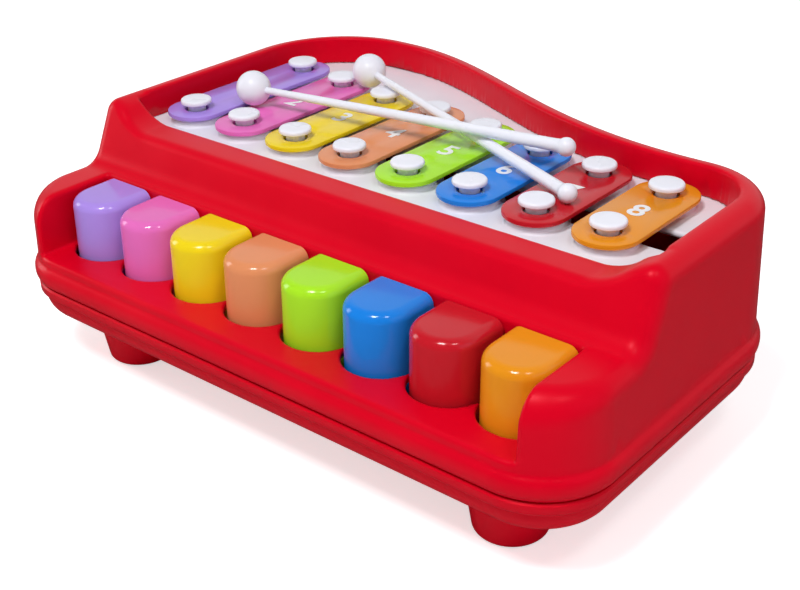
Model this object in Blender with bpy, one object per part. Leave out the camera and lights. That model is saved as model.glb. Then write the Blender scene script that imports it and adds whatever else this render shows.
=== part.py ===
"""Toy xylophone piano: eight keys throw hammers at eight metal bars, and two mallets lie on top.

Metres, +Z up, +X to the player's right, +Y away from the player.
The origin is the middle of the footprint, on the surface that the toy stands on.
"""
import math

import bmesh
import bpy
from mathutils import Matrix, Vector

for leftover in list(bpy.data.objects):
    bpy.data.objects.remove(leftover)

# Clearances
GAP = 0.0003            # between pieces that touch

# Keys
KEY_COUNT = 8
KEY_PITCH = 0.026
KEY_SPACING = 0.003     # free width between two caps
KEY_LENGTH = 0.0226
KEY_STANDS = 0.0205     # cap above the deck
KEY_DIPS = 0.011        # cap below the deck
KEY_FILLET = 0.0035
KEY_FLARE = 0.0006      # how much wider each side gets at the foot
KEY_WALL = 0.002
KEY_TRAVEL = math.radians(8)
KEY_END_GAP = 0.0012    # from an outer key to its cheek
KEY_REAR_GAP = 0.0006
ARM_WIDTH = 0.007
ARM_HEIGHT = 0.005
PIVOT_BEHIND_WALL = 0.028
PIVOT_UNDER_KEY_TOP = 0.011
AXLE_RADIUS = 0.0015
BARREL_WALL = 0.0022
BARREL_WIDTH = 0.012

# Hammers
HAMMER_REACH = 0.0265   # from the pivot back to the hammer
HAMMER_RADIUS = 0.003
HAMMER_COLLAR = 0.0014  # how far the lever's socket stands round the hammer stem
HAMMER_HEAD = 0.0022    # thickness of the flange under the lever
HAMMER_TIP_GAP = 0.0003 # from a struck bar to the hammer at full travel

# Bars, their pegs and the board that carries them
BAR_SHIFT = 0.005       # bars lie this far left of their keys
BAR_WIDTH = 0.022
BAR_THICKNESS = 0.0018
LONGEST_BAR = 0.0808
NOTE_STEPS = (0, 2, 4, 5, 7, 9, 11, 12)     # semitones above the lowest note
PEG_ROW_BEHIND_WALL = 0.0394
PEG_HEAD_RADIUS = 0.00585
PEG_HEAD_THICKNESS = 0.0018
PEG_SHAFT_RADIUS = 0.0034
PEG_PIN_RADIUS = 0.002
PEG_FREE_LIFT = 0.0021  # how far a bar can lift under the heads
BAR_HOLE_ROOM = 0.0009
BOSS_HEIGHT = 0.0026
BOSS_INSET = 0.0014     # boss rim inside the bar's end
BOARD_THICKNESS = 0.002
BOARD_LAP = 0.0022      # board edge under the recess wall
WINDOW_DEPTH = 0.0135

# Body, from the ground up
FOOT_HEIGHT = 0.0193
FOOT_TOP_RADIUS = 0.0148
FOOT_BOTTOM_RADIUS = 0.0122
FOOT_EDGE = 0.002
FOOT_INSET_X = 0.0371
FOOT_INSET_FRONT = 0.0285
FOOT_INSET_BACK = 0.0375
BASE_DEPTH = 0.0137
BASE_BAND = 0.0037
BASE_ROUNDING = 0.0085
BASE_BAND_INSET = 0.0009
BASE_BEAD_INSET = 0.0026
LIP_HEIGHT = 0.0083
DECK_ABOVE_SPLIT = 0.0118
LEDGE_STEP = 0.0007     # ledge above the key tops
BOX_RISE = 0.0223       # rim above the ledge
RIDGE_DROP = 0.0085     # front ridge under the rim
BOARD_SINK = 0.0025     # board under the front ridge
WALL = 0.0025

# Body, in plan
APRON = 0.0131          # front of the lip to the front of the keys
CHEEK = 0.0192          # key bay to the side of the lip
LEDGE_DEPTH = 0.0049
SLOPE_ANGLE = math.radians(67)
CREASE_RADIUS = 0.008
BROW_RADIUS = 0.006
FRONT_CORNER = 0.026
LEFT_BACK_CORNER = 0.0475
RIGHT_BACK_CORNER = 0.031
CURVE_FLAT = 0.0055     # straight bit between a corner and the curved back
CURVE_HANDLE_LEFT = 0.050
CURVE_HANDLE_RIGHT = 0.068
LIP_BULGE = 0.0018
WALL_LEAN = 0.0017      # draft of the wall from the lip to the rim
RIM_WIDTH = 0.008
FRONT_ROUNDING = 0.013
SIDE_ROUNDING = 0.006
BAR_FRONT_ROOM = 0.0047
BAR_LEFT_BACK_ROOM = 0.0232
BAR_RIGHT_BACK_ROOM = 0.003
RIDGE_RAMP = 0.0105     # width of the step from rim to ridge

# Axle posts and screws
POST_THICKNESS = 0.003
POST_DEPTH = 0.010
SCREW_HEAD_RADIUS = 0.003
SCREW_HEAD_HEIGHT = 0.0018
SCREW_RADIUS = 0.0014
SCREW_LENGTH = 0.020
SCREW_SINK = 0.0025     # head under the floor's outer face
SCREW_FROM_SIDE = 0.0105
SCREW_FROM_FRONT = 0.030
SCREW_BEHIND_PIVOT = 0.014
SCREW_FROM_BACK = 0.024
BOSS_WALL = 0.0022
PILOT_SPARE = 0.001     # hole deeper than its screw

# Mallets
MALLET_LENGTH = 0.1322  # ball centre to handle-knob centre
MALLET_BALL = 0.0067
MALLET_KNOB = 0.0032
STICK_THIN = 0.00135
STICK_THICK = 0.0022
LOWER_BALL_PLACE = (0.0121, 0.0027)     # from the rear peg of the second bar
LOWER_KNOB_PLACE = (0.0037, 0.0109)     # from the front peg of the seventh bar
UPPER_BALL_PLACE = (-0.0096, 0.0149)    # from the front peg of the second bar
UPPER_HEADING = math.radians(6.53)      # its stick turned left from straight across

# Heights
floor_z = FOOT_HEIGHT
split_z = floor_z + BASE_DEPTH
lip_top_z = split_z + LIP_HEIGHT
deck_z = split_z + DECK_ABOVE_SPLIT
key_top_z = deck_z + KEY_STANDS
ledge_z = key_top_z + LEDGE_STEP
rim_z = ledge_z + BOX_RISE
ridge_z = rim_z - RIDGE_DROP
board_z = ridge_z - BOARD_SINK
bar_z = board_z + BOSS_HEIGHT + GAP
bar_top_z = bar_z + BAR_THICKNESS
peg_top_z = bar_top_z + PEG_FREE_LIFT + PEG_HEAD_THICKNESS
pivot_z = key_top_z - PIVOT_UNDER_KEY_TOP

# Plan, with the front of the lip placed last so that the origin is in the middle
key_width = KEY_PITCH - KEY_SPACING
key_round = key_width / 2
bar_round = BAR_WIDTH / 2
bay_half = KEY_COUNT * KEY_PITCH / 2 - KEY_SPACING / 2 + KEY_END_GAP
half_width = bay_half + CHEEK
wall_from_front = APRON + KEY_LENGTH + KEY_REAR_GAP
peg_row_from_front = wall_from_front + PEG_ROW_BEHIND_WALL


def key_x(i):
    return (i - (KEY_COUNT - 1) / 2) * KEY_PITCH


def bar_x(i):
    return key_x(i) - BAR_SHIFT


def bar_length(i):
    """A bar's pitch follows one over the square of its length."""
    return LONGEST_BAR / math.sqrt(2 ** (NOTE_STEPS[i] / 12))


def peg_span(i):
    return bar_length(i) - BAR_WIDTH


rim_inset = LIP_BULGE + WALL_LEAN
depth = (peg_row_from_front + peg_span(0) + bar_round + BAR_LEFT_BACK_ROOM
         + RIM_WIDTH + rim_inset)
front_y = -depth / 2
back_left_y = depth / 2
wall_y = front_y + wall_from_front
peg_row_y = front_y + peg_row_from_front
back_right_y = (peg_row_y + peg_span(KEY_COUNT - 1) + bar_round + BAR_RIGHT_BACK_ROOM
                + RIM_WIDTH + rim_inset)
crease_y = wall_y + LEDGE_DEPTH
recess_front_y = peg_row_y - bar_round - BAR_FRONT_ROOM
pivot_y = wall_y + PIVOT_BEHIND_WALL
hammer_y = pivot_y + HAMMER_REACH
window_y = hammer_y - HAMMER_RADIUS / 2
window_side = KEY_PITCH - BAR_WIDTH + BAR_SHIFT
hammer_top_z = bar_z - HAMMER_TIP_GAP - HAMMER_REACH * math.sin(KEY_TRAVEL)
screw_seat_z = floor_z + SCREW_SINK + SCREW_HEAD_HEIGHT
post_x = [(i - KEY_COUNT / 2) * KEY_PITCH - BAR_SHIFT for i in range(0, KEY_COUNT + 1, 2)]
recess_x = half_width - rim_inset - RIM_WIDTH
foot_x = half_width - FOOT_INSET_X


def rear_peg_y(i):
    return peg_row_y + peg_span(i)



# Screws: place in plan, and the way to the nearest wall
screw_places = [(sx * (half_width - SCREW_FROM_SIDE), y, (sx, 0)) for sx in (-1, 1)
                for y in (front_y + SCREW_FROM_FRONT, pivot_y + SCREW_BEHIND_PIVOT, back_right_y - SCREW_FROM_BACK)]
screw_places.append((-half_width + LEFT_BACK_CORNER, back_left_y - SCREW_FROM_SIDE, (0, 1)))

COLOURS = ("lilac", "pink", "yellow", "peach", "green", "blue", "crimson", "orange")
TINTS = {
    "lilac": (0.42, 0.27, 0.80), "pink": (0.80, 0.16, 0.52), "yellow": (0.87, 0.66, 0.01),
    "peach": (0.76, 0.28, 0.12), "green": (0.40, 0.80, 0.02), "blue": (0.01, 0.22, 0.75),
    "crimson": (0.55, 0.01, 0.02), "orange": (0.80, 0.29, 0.01),
}


def finish(name, colour, roughness, metallic=0.0):
    material = bpy.data.materials.new(name)
    material.use_nodes = True
    shader = material.node_tree.nodes["Principled BSDF"]
    shader.inputs["Base Color"].default_value = (*colour, 1)
    shader.inputs["Roughness"].default_value = roughness
    shader.inputs["Metallic"].default_value = metallic
    return material


red_plastic = finish("red plastic", (0.72, 0.0, 0.008), 0.35)
white_plastic = finish("white plastic", (0.86, 0.85, 0.90), 0.3)
steel = finish("steel", (0.55, 0.55, 0.57), 0.3, 1.0)
key_plastic = {c: finish(c + " plastic", TINTS[c], 0.2) for c in COLOURS}
bar_paint = {c: finish(c + " paint", TINTS[c], 0.25) for c in COLOURS}


def new_object(name, mesh_data, material=None, smooth=30):
    obj = bpy.data.objects.new(name, mesh_data)
    bpy.context.collection.objects.link(obj)
    if material:
        mesh_data.materials.append(material)
    if smooth:
        mesh_data.shade_smooth()
        mesh_data.set_sharp_from_angle(angle=math.radians(smooth))
    return obj


def from_bmesh(name, bm, material=None, smooth=30):
    bmesh.ops.recalc_face_normals(bm, faces=bm.faces)
    data = bpy.data.meshes.new(name)
    bm.to_mesh(data)
    bm.free()
    return new_object(name, data, material, smooth)


def add_loft(bm, rings):
    """Skin equal closed rings of points, and cap the first and the last."""
    loops = [[bm.verts.new(p) for p in ring] for ring in rings]
    for low, high in zip(loops, loops[1:]):
        for k in range(len(low)):
            n = (k + 1) % len(low)
            bm.faces.new((low[k], low[n], high[n], high[k]))
    bm.faces.new(list(reversed(loops[0])))
    bm.faces.new(loops[-1])


def loft(name, rings, material=None):
    bm = bmesh.new()
    add_loft(bm, rings)
    return from_bmesh(name, bm, material)


def prism(outline, low, high):
    """Rings of an upright prism over a plan outline."""
    return [[(x, y, z) for x, y in outline] for z in (low, high)]


def prisms(name, parts, material=None):
    """One mesh of several closed lofts."""
    bm = bmesh.new()
    for rings in parts:
        add_loft(bm, rings)
    return from_bmesh(name, bm, material)


def circle(cx, cy, radius, sides=24):
    step = 2 * math.pi / sides
    return [(cx + radius * math.cos(k * step), cy + radius * math.sin(k * step)) for k in range(sides)]


def rectangle(x0, x1, y0, y1):
    return [(x0, y0), (x1, y0), (x1, y1), (x0, y1)]


def turned(cx, cy, profile, sides=16):
    """Rings of a turned piece, from (radius, height) pairs listed from the bottom up."""
    return [[(x, y, z) for x, y in circle(cx, cy, r, sides)] for r, z in profile]


def axle_circle(radius, sides=12):
    """Circle round the axle, as (y, z) points."""
    return circle(pivot_y, pivot_z, radius, sides)


def cross_prism(outline_yz, x0, x1):
    """Rings of a prism that lies along X."""
    return [[(x, y, z) for y, z in outline_yz] for x in (x0, x1)]


def hide_guide(obj):
    obj.hide_render = True
    obj.display_type = "WIRE"
    return obj


def boolean(obj, tool, operation="DIFFERENCE"):
    modifier = obj.modifiers.new(operation.title() + " " + tool.name, "BOOLEAN")
    modifier.operation = operation
    modifier.object = hide_guide(tool)
    modifier.solver = "EXACT"


def arc(cx, cy, radius, start, stop, steps):
    """Points on an arc, both ends included, with angles in degrees."""
    points = []
    for k in range(steps + 1):
        a = math.radians(start + (stop - start) * k / steps)
        points.append((cx + radius * math.cos(a), cy + radius * math.sin(a)))
    return points


def rounded_corner(corner, towards_a, towards_b, radius, steps=3):
    """Arc that rounds a corner between two directions."""
    a = Vector(towards_a).normalized()
    b = Vector(towards_b).normalized()
    half = a.angle(b) / 2
    centre = Vector(corner) + (a + b).normalized() * radius / math.sin(half)
    start = Vector(corner) + a * radius / math.tan(half) - centre
    sweep = (math.pi - 2 * half) * (1 if a.cross(b) < 0 else -1)
    return [tuple(centre + Matrix.Rotation(sweep * k / steps, 2) @ start) for k in range(steps + 1)]


def side_profile(inward):
    """Ledge, crease, slope and brow of the upper shell, seen from the side, as (y, z) points."""
    z = ledge_z - inward
    top = rim_z - inward
    back = Vector((math.sin(SLOPE_ANGLE), -math.cos(SLOPE_ANGLE))) * inward
    rise = Vector((math.cos(SLOPE_ANGLE), math.sin(SLOPE_ANGLE)))
    foot = Vector((crease_y, ledge_z)) + back
    crease = foot + rise * (z - foot.y) / rise.y
    brow = foot + rise * (top - foot.y) / rise.y
    low = rounded_corner(crease, (-1, 0), rise, CREASE_RADIUS + inward)
    high = rounded_corner(brow, -rise, (1, 0), max(BROW_RADIUS - inward, BROW_RADIUS / 4))
    return low + high


def height_at(y, profile):
    """Height of the top surface over a line across the toy."""
    if y <= profile[0][0]:
        return profile[0][1]
    for (y0, z0), (y1, z1) in zip(profile, profile[1:]):
        if y <= y1:
            return z0 + (z1 - z0) * (y - y0) / (y1 - y0)
    return profile[-1][1]


def cubic(p0, p1, p2, p3, t):
    s = 1 - t
    return p0 * s ** 3 + p1 * 3 * s * s * t + p2 * 3 * s * t * t + p3 * t ** 3


def plan_outline(inset, side_stations, corner_steps=5, back_steps=12):
    """Outline of the body seen from above, anticlockwise from the middle of the front's left end.

    Left and right share their stations up to the brow, so rungs can join them.
    """
    r = FRONT_CORNER - inset
    cx = half_width - FRONT_CORNER
    cy = front_y + FRONT_CORNER
    right = arc(cx, cy, r, 270, 360, corner_steps)
    right += [(half_width - inset, y) for y in side_stations]
    back = arc(half_width - RIGHT_BACK_CORNER, back_right_y - RIGHT_BACK_CORNER,
               RIGHT_BACK_CORNER - inset, 0, 90, corner_steps)
    start = Vector((half_width - RIGHT_BACK_CORNER - CURVE_FLAT, back_right_y))
    end = Vector((-half_width + LEFT_BACK_CORNER + CURVE_FLAT, back_left_y))
    handle_a = start - Vector((CURVE_HANDLE_RIGHT, 0))
    handle_b = end + Vector((CURVE_HANDLE_LEFT, 0))
    for k in range(back_steps + 1):
        t = k / back_steps
        point = cubic(start, handle_a, handle_b, end, t)
        near = cubic(start, handle_a, handle_b, end, min(t + 0.001, 1))
        far = cubic(start, handle_a, handle_b, end, max(t - 0.001, 0))
        along = (near - far).normalized()
        back.append(tuple(point + Vector((-along.y, along.x)) * inset))
    back += arc(-half_width + LEFT_BACK_CORNER, back_left_y - LEFT_BACK_CORNER,
                LEFT_BACK_CORNER - inset, 90, 180, corner_steps + 3)
    left = [(-x, y) for x, y in reversed(right)]
    return right, back, left


def wall_inset(z):
    """The wall leans in from the lip to the rim."""
    return LIP_BULGE + WALL_LEAN * (z - lip_top_z) / (rim_z - lip_top_z)


def body_mesh(name, inward, low_rings):
    """Skin of the upper body: the wall, its rounded top edge, and the surface over the front.

    inward is zero for the outer skin, and the wall's thickness for the hollow.
    low_rings gives (inset, height) pairs below the wall.
    """
    profile = side_profile(inward)
    stations = [y for y, z in profile]
    rounding = 3

    def ring(step):
        """Ring number step of the rounded edge, where 0 is its foot on the wall."""
        swing = math.pi / 2 * step / rounding
        base = plan_outline(0, stations)
        points = []
        for part, row in enumerate(base):
            for k in range(len(row)):
                turn = 0.0
                if part != 1:
                    place = k if part == 0 else len(row) - 1 - k
                    turn = max(0.0, 1 - place / 5)
                radius = SIDE_ROUNDING + (FRONT_ROUNDING - SIDE_ROUNDING) * turn
                radius = max(radius - 1.7 * inward, radius / 4)
                crown = height_at(row[k][1], profile)
                inset = wall_inset(crown - radius) + inward + radius * (1 - math.cos(swing))
                points.append((part, k, inset, radius * (1 - math.sin(swing))))
        placed = []
        for part, k, inset, drop in points:
            x, y = plan_outline(inset, stations)[part][k]
            placed.append((x, y, height_at(y, profile) - drop))
        return placed

    rings = []
    for inset, z in low_rings:
        rows = plan_outline(inset + inward, stations)
        rings.append([(x, y, z) for row in rows for x, y in row])
    rings += [ring(step) for step in range(rounding + 1)]
    bm = bmesh.new()
    loops = [[bm.verts.new(p) for p in points] for points in rings]
    total = len(loops[0])
    for a, b in zip(loops, loops[1:]):
        for k in range(total):
            n = (k + 1) % total
            bm.faces.new((a[k], a[n], b[n], b[k]))
    bm.faces.new(list(reversed(loops[0])))
    top = loops[-1]
    rungs = len(plan_outline(0, stations)[0])
    for k in range(rungs - 1):
        bm.faces.new((top[k], top[k + 1], top[total - 2 - k], top[total - 1 - k]))
    bm.faces.new(top[rungs - 1:total - rungs + 1])
    return from_bmesh(name, bm)


def recess_rings(outset, low, high):
    """The recess follows the body's back outline at the rim's width, squared off at the front."""
    inset = rim_inset + RIM_WIDTH - outset
    right, back, left = plan_outline(inset, [])
    x = half_width - inset
    y = recess_front_y - outset
    return prism([(x, y)] + back + [(-x, y)], low, high)


def key_outline(x, grow, rear_inset):
    """Square at the back and half round at the front."""
    r = key_round + grow
    cy = wall_y - KEY_REAR_GAP - KEY_LENGTH + key_round
    rear = wall_y - KEY_REAR_GAP - rear_inset
    front = [(x + r * math.cos(a), cy + r * math.sin(a))
             for a in (math.radians(-180 + 180 * k / 10) for k in range(11))]
    return front + [(x + r, rear), (x - r, rear)]


def scallops(rear):
    """Opening in the deck: one arc round each key, meeting in cusps."""
    cy = wall_y - KEY_REAR_GAP - KEY_LENGTH + key_round
    edge = bay_half - GAP
    points = []
    for i in range(KEY_COUNT):
        points += arc(key_x(i), cy, KEY_PITCH / 2, 180, 360, 10)[:-1]
    points = [(max(-edge, min(edge, x)), y) for x, y in points]
    points += [(edge, cy), (edge, rear), (-edge, rear)]
    return points


def ridge_rings(outset):
    """The step that lowers the rim to the front ridge between the bars and the slope."""
    tilt = RIDGE_RAMP / RIDGE_DROP
    spread = outset * math.hypot(1, tilt) - GAP
    low = ridge_z - outset
    high = rim_z + WALL
    x0 = recess_x + spread - (rim_z - low) * tilt
    x1 = recess_x + spread + (high - rim_z) * tilt
    section = [(-x0, low), (x0, low), (x1, high), (-x1, high)]
    return [[(x, y, z) for x, z in section] for y in (wall_y - WALL, recess_front_y + WALL)]


def boss_outline(place, radius):
    """Half a circle on the inner side, with straight sides to the wall."""
    x, y, (wx, wy) = place
    out = math.degrees(math.atan2(wy, wx))
    reach = SCREW_FROM_SIDE
    side = (-wy * radius, wx * radius)
    ends = [(x + wx * reach - side[0], y + wy * reach - side[1]),
            (x + wx * reach + side[0], y + wy * reach + side[1])]
    return ends + arc(x, y, radius, out + 90, out + 270, 6)


def make_upper_shell():
    lip = [(LIP_BULGE, split_z + GAP), (LIP_BULGE * 0.15, split_z + LIP_HEIGHT * 0.22),
           (0, split_z + LIP_HEIGHT * 0.5), (LIP_BULGE * 0.3, split_z + LIP_HEIGHT * 0.8),
           (LIP_BULGE, lip_top_z)]
    shell = body_mesh("upper_shell", 0, lip)
    shell.data.materials.append(red_plastic)
    hollow = body_mesh("hollow", WALL, [(LIP_BULGE, split_z - WALL), (LIP_BULGE, lip_top_z)])

    well_wall = prisms("well walls", [recess_rings(WALL, board_z + GAP, rim_z + WALL)])
    boolean(hollow, well_wall)
    bay_floor = deck_z - WALL
    bay_walls = prisms("bay walls", [
        prism(rectangle(-bay_half - WALL, bay_half + WALL, front_y, wall_y + WALL), bay_floor, rim_z)])
    boolean(hollow, bay_walls)
    roof = prisms("ridge roof", [ridge_rings(BOARD_SINK - 2 * GAP)])
    boolean(hollow, roof)
    sockets = prisms("screw sockets", [
        prism(boss_outline(place, SCREW_RADIUS + BOSS_WALL), split_z + GAP, key_top_z)
        for place in screw_places])
    boolean(hollow, sockets)
    boolean(shell, hollow)

    boolean(shell, prisms("recess", [recess_rings(0, board_z - WALL, rim_z + WALL)]))
    boolean(shell, prisms("ridge step", [ridge_rings(0)]))
    boolean(shell, prisms("key bay", [
        prism(rectangle(-bay_half, bay_half, front_y - WALL, wall_y), deck_z, rim_z - WALL)]))
    boolean(shell, prisms("key openings", [
        prism(scallops(wall_y - GAP), bay_floor - WALL, deck_z + WALL)]))
    slot_top = pivot_z + ARM_HEIGHT
    boolean(shell, prisms("arm slot", [
        prism(rectangle(-bay_half + GAP, bay_half - GAP, wall_y - 2 * WALL, wall_y + 2 * WALL),
              split_z, slot_top)]))
    pilot_top = screw_seat_z - SCREW_HEAD_HEIGHT + SCREW_LENGTH + PILOT_SPARE
    boolean(shell, prisms("pilot holes", [
        prism(circle(x, y, SCREW_RADIUS + GAP, 12), split_z - WALL, pilot_top)
        for x, y, wall in screw_places]))


def base_rings(inward):
    """Band, step, bead and rounded underside of the base, from the bottom up."""
    low = floor_z + inward
    radius = BASE_ROUNDING - inward
    bead = BASE_BEAD_INSET + inward
    levels = [(bead + radius * (1 - math.cos(a)), low + radius * (1 - math.sin(a)))
              for a in (math.radians(90 - 22.5 * k) for k in range(5))]
    step_z = split_z - BASE_BAND
    if inward:
        levels.append((bead, split_z + inward))
    else:
        levels += [(BASE_BEAD_INSET, step_z - GAP), (BASE_BAND_INSET, step_z),
                   (BASE_BAND_INSET, split_z)]
    rings = []
    for inset, z in levels:
        rows = plan_outline(inset, [], 5, 10)
        rings.append([(x, y, z) for row in rows for x, y in row])
    return rings


def make_base_shell():
    """Open tray with towers for the screws, saddles for the axle and a shelf for the springs."""
    base = loft("base_shell", base_rings(0), red_plastic)
    inside = loft("base hollow", base_rings(WALL))
    floor_top = floor_z + WALL
    towers = [prism(boss_outline(place, SCREW_RADIUS + BOSS_WALL), floor_top - GAP, split_z + 2 * WALL)
              for place in screw_places]
    boolean(inside, prisms("screw towers", towers))
    boolean(base, inside)

    eye = AXLE_RADIUS + BARREL_WALL
    posts = [prism(rectangle(x - POST_THICKNESS / 2, x + POST_THICKNESS / 2,
                             pivot_y - POST_DEPTH / 2, pivot_y + POST_DEPTH / 2),
                   floor_top - WALL / 2, pivot_z + eye) for x in post_x]
    boolean(base, prisms("axle posts", posts), "UNION")
    eyes = cross_prism(axle_circle(AXLE_RADIUS + GAP), post_x[0] - WALL, post_x[-1] + WALL)
    boolean(base, prisms("axle eyes", [eyes]))

    holes = [prism(circle(x, y, SCREW_RADIUS + GAP, 12), floor_z - WALL, split_z + WALL)
             for x, y, wall in screw_places]
    boolean(base, prisms("screw holes", holes))
    sinks = [prism(circle(x, y, SCREW_HEAD_RADIUS + GAP, 12), floor_z - WALL, screw_seat_z)
             for x, y, wall in screw_places]
    boolean(base, prisms("screw sinks", sinks))


def make_feet():
    """Tapered feet with a rounded lower edge."""
    edge = FOOT_EDGE * 0.3
    profile = [(FOOT_BOTTOM_RADIUS - FOOT_EDGE, 0), (FOOT_BOTTOM_RADIUS - edge, edge),
               (FOOT_BOTTOM_RADIUS, FOOT_EDGE), (FOOT_TOP_RADIUS, floor_z - GAP)]
    places = {
        "front_left": (-foot_x, front_y + FOOT_INSET_FRONT),
        "front_right": (foot_x, front_y + FOOT_INSET_FRONT),
        "rear_left": (-half_width + LEFT_BACK_CORNER, back_left_y - LEFT_BACK_CORNER),
        "rear_right": (foot_x, back_right_y - FOOT_INSET_BACK),
    }
    for place, (x, y) in places.items():
        loft("foot_" + place, turned(x, y, profile, 20), red_plastic)


def make_board():
    """White board under the bars, with a boss for each bar end and a window for the hammers."""
    plate = prisms("sound_board", [recess_rings(BOARD_LAP, board_z - BOARD_THICKNESS, board_z)],
                   white_plastic)
    ends = [(bar_x(i), y) for i in range(KEY_COUNT) for y in (peg_row_y, rear_peg_y(i))]
    boss = bar_round - BOSS_INSET
    bosses = [prism(circle(x, y, boss, 20), board_z - BOARD_THICKNESS / 2, board_z + BOSS_HEIGHT)
              for x, y in ends]
    boolean(plate, prisms("bosses", bosses), "UNION")
    holes = [prism(circle(x, y, PEG_PIN_RADIUS + GAP, 10), board_z - WALL, bar_top_z) for x, y in ends]
    boolean(plate, prisms("peg holes", holes))
    window = prism(rectangle(bar_x(0) - bar_round, bar_x(KEY_COUNT - 1) + bar_round + window_side,
                             window_y - WINDOW_DEPTH / 2, window_y + WINDOW_DEPTH / 2),
                   board_z - WALL, bar_top_z)
    boolean(plate, prisms("hammer window", [window]))


def make_key(i):
    """Hollow cap with a lever behind it, a barrel on the axle and a socket for the hammer."""
    x = key_x(i)
    colour = COLOURS[i % len(COLOURS)]
    foot = deck_z - KEY_DIPS
    levels = [(0, foot)]
    for turn in (0, 30, 60, 90):
        a = math.radians(turn)
        levels.append((KEY_FILLET * (1 - math.cos(a)), key_top_z - KEY_FILLET * (1 - math.sin(a))))
    rings = []
    for inset, z in levels:
        flare = KEY_FLARE * (key_top_z - z) / (key_top_z - foot)
        rings.append([(px, py, z) for px, py in key_outline(x, flare - inset, 0)])
    name = "key_%d" % (i + 1)
    cap = loft(name, rings, key_plastic[colour])
    inner = prism(key_outline(x, -KEY_WALL, KEY_WALL), foot - KEY_WALL, key_top_z - KEY_WALL)
    boolean(cap, prisms(name + " hollow", [inner]))

    lever_x = bar_x(i)
    low = pivot_z - ARM_HEIGHT / 2
    high = pivot_z + ARM_HEIGHT / 2
    lever = prism(rectangle(lever_x - ARM_WIDTH / 2, lever_x + ARM_WIDTH / 2,
                            wall_y - KEY_REAR_GAP - KEY_WALL / 2, hammer_y), low, high)
    boolean(cap, prisms(name + " lever", [lever]), "UNION")
    socket = prism(circle(lever_x, hammer_y, HAMMER_RADIUS + HAMMER_COLLAR, 12), low, high)
    boolean(cap, prisms(name + " socket", [socket]), "UNION")
    barrel = cross_prism(axle_circle(AXLE_RADIUS + BARREL_WALL),
                         lever_x - BARREL_WIDTH / 2, lever_x + BARREL_WIDTH / 2)
    boolean(cap, prisms(name + " barrel", [barrel]), "UNION")
    bore = cross_prism(axle_circle(AXLE_RADIUS + GAP), lever_x - BARREL_WIDTH, lever_x + BARREL_WIDTH)
    boolean(cap, prisms(name + " bore", [bore]))
    stem = prism(circle(lever_x, hammer_y, HAMMER_RADIUS + GAP, 12), low - WALL, board_z)
    boolean(cap, prisms(name + " stem hole", [stem]))


def make_hammer(i):
    """White stem pushed up through the lever, with a flange below and a rounded striking end."""
    flange = pivot_z - ARM_HEIGHT / 2 - GAP
    top = hammer_top_z
    r = HAMMER_RADIUS
    profile = [(r + HAMMER_COLLAR, flange - HAMMER_HEAD), (r + HAMMER_COLLAR, flange - GAP),
               (r, flange), (r, top - r), (r * 0.9, top - r * 0.45), (r * 0.5, top - r * 0.1),
               (r * 0.2, top)]
    loft("hammer_%d" % (i + 1), turned(bar_x(i), hammer_y, profile, 10), white_plastic)


def make_bar(i):
    """Painted metal bar with round ends and a free hole for each peg."""
    x = bar_x(i)
    rear = rear_peg_y(i)
    outline = arc(x, peg_row_y, bar_round, 180, 360, 14) + arc(x, rear, bar_round, 0, 180, 14)
    bar = prisms("bar_%d" % (i + 1), [prism(outline, bar_z, bar_top_z)],
                 bar_paint[COLOURS[i % len(COLOURS)]])
    hole = PEG_SHAFT_RADIUS + BAR_HOLE_ROOM
    holes = [prism(circle(x, y, hole, 16), bar_z - GAP, bar_top_z + GAP) for y in (peg_row_y, rear)]
    boolean(bar, prisms("bar holes %d" % (i + 1), holes))


def make_pegs():
    """Mushroom pegs: head, shaft through the bar, and a pin pressed into the board."""
    boss_top = board_z + BOSS_HEIGHT
    under_head = peg_top_z - PEG_HEAD_THICKNESS
    edge = PEG_HEAD_THICKNESS * 0.35
    profile = [(PEG_PIN_RADIUS, board_z - BOARD_THICKNESS - WALL / 2), (PEG_PIN_RADIUS, boss_top + GAP / 3),
               (PEG_SHAFT_RADIUS, boss_top + GAP), (PEG_SHAFT_RADIUS, under_head),
               (PEG_HEAD_RADIUS, under_head + GAP / 3), (PEG_HEAD_RADIUS, peg_top_z - edge),
               (PEG_HEAD_RADIUS - edge, peg_top_z)]
    for i in range(KEY_COUNT):
        for row, y in (("front", peg_row_y), ("rear", rear_peg_y(i))):
            loft("peg_%s_%d" % (row, i + 1), turned(bar_x(i), y, profile, 12), white_plastic)


def make_axle():
    """Steel rod that all the keys turn on."""
    rod = cross_prism(axle_circle(AXLE_RADIUS), post_x[0] - POST_THICKNESS, post_x[-1] + POST_THICKNESS)
    prisms("key_axle", [rod], steel)


def stick_radius(along):
    """The stick thickens evenly from the ball to the knob."""
    start = MALLET_BALL
    stop = MALLET_LENGTH - MALLET_KNOB * 0.8
    t = max(0.0, min(1.0, (along - start) / (stop - start)))
    return STICK_THIN + (STICK_THICK - STICK_THIN) * t


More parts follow.
